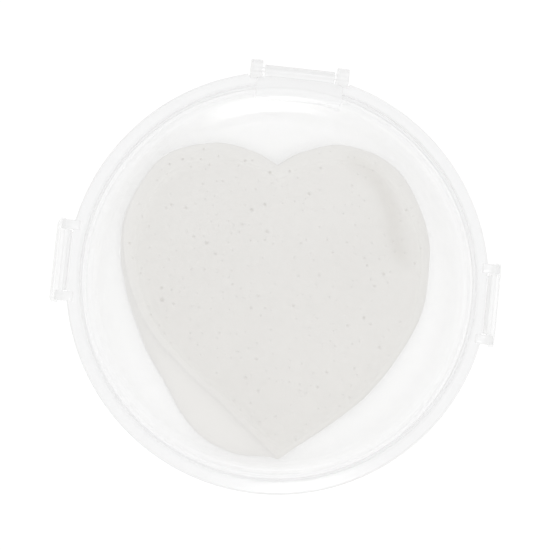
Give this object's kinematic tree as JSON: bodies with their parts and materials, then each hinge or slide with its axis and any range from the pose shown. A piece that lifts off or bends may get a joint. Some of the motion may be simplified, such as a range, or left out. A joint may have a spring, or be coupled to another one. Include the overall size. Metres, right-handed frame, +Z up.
{
  "type": "wet palette",
  "caption": "Pocket wet palette: round hinged translucent case with side clips, a heart-shaped water sponge and a mixing membrane on top of it.",
  "frame": {"origin": "on the case's round axis, at the level of the table that the tray's foot stands on", "axes": "+Z up through the lid, +Y towards the hinge at the back, +X to the right-hand clip"},
  "size_m": [0.0976, 0.0922, 0.0256],
  "materials": {
    "clear_plastic": "satin",
    "silicone": "satin",
    "sponge": "matte",
    "membrane": "satin"
  },
  "bodies": {
    "base": {"base_tray": "clear_plastic", "hinge_pin": "clear_plastic", "sponge": "sponge", "palette_paper": "membrane"},
    "lid": {"lid_shell": "clear_plastic", "seal_ring": "silicone", "latch_pin_left": "clear_plastic", "latch_pin_right": "clear_plastic"},
    "left_clip": {"latch_left": "clear_plastic"},
    "right_clip": {"latch_right": "clear_plastic"}
  },
  "joints": [
    {"name": "lid_hinge", "type": "hinge", "parent": "base", "child": "lid", "pos_m": [0, 0.0451, 0.0176], "axis": [-1, 0, 0], "range_deg": [0, 186]},
    {"name": "left_clip_pivot", "type": "hinge", "parent": "lid", "child": "left_clip", "pos_m": [-0.04575, 0, 0.0189], "axis": [0, 1, 0], "range_deg": [-6.6, 103]},
    {"name": "right_clip_pivot", "type": "hinge", "parent": "lid", "child": "right_clip", "pos_m": [0.04575, 0, 0.0189], "axis": [0, -1, 0], "range_deg": [-6.6, 103]}
  ]
}
